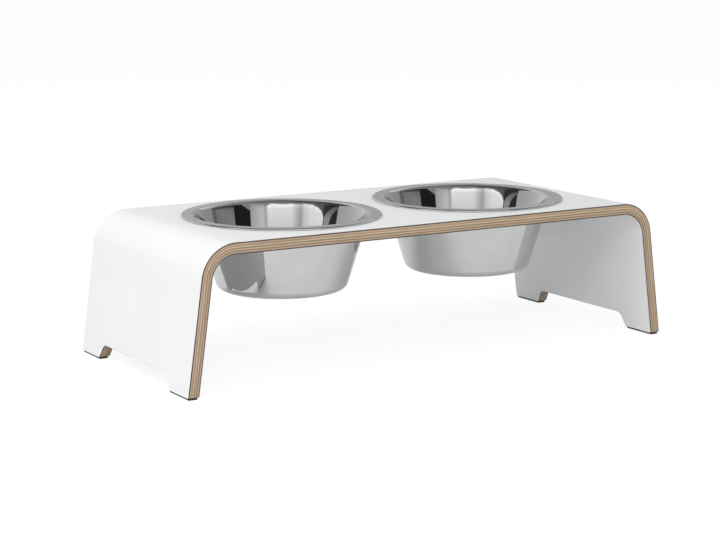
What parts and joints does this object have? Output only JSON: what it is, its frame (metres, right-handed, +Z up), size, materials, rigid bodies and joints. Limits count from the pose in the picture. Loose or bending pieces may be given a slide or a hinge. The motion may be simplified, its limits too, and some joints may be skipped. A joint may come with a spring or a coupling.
{
  "type": "dog feeder stand",
  "caption": "Low bench of bent laminated plywood with leaning legs, holding round steel bowls that lift out of holes in its top.",
  "frame": {"origin": "on the floor, under the middle of the bench", "axes": "+X along the bench towards the right bowl, +Y from the front edge to the back edge, +Z up"},
  "size_m": [0.5844, 0.252, 0.1526],
  "materials": {
    "white_laminate": "satin white high-pressure laminate with a dark core",
    "light_veneer": "clear-coated veneer edge, grain along the bench",
    "brown_veneer": "clear-coated veneer edge, grain across the bench",
    "black_pad": "matt black",
    "polished_steel": "polished stainless steel"
  },
  "bodies": {
    "stand": {"outer_laminate": "white_laminate", "veneer_1": "light_veneer", "veneer_2": "brown_veneer", "veneer_3": "light_veneer", "veneer_4": "brown_veneer", "veneer_5": "light_veneer", "veneer_6": "brown_veneer", "veneer_7": "light_veneer", "inner_laminate": "white_laminate", "pad_front_left": "black_pad", "pad_front_right": "black_pad", "pad_rear_left": "black_pad", "pad_rear_right": "black_pad"},
    "left_bowl": {"bowl_left": "polished_steel"},
    "right_bowl": {"bowl_right": "polished_steel"}
  },
  "joints": [
    {"name": "left_bowl_lift", "type": "slide", "parent": "stand", "child": "left_bowl", "axis": [0, 0, 1], "range_m": [0, 0.1]},
    {"name": "right_bowl_lift", "type": "slide", "parent": "stand", "child": "right_bowl", "axis": [0, 0, 1], "range_m": [0, 0.1]}
  ]
}
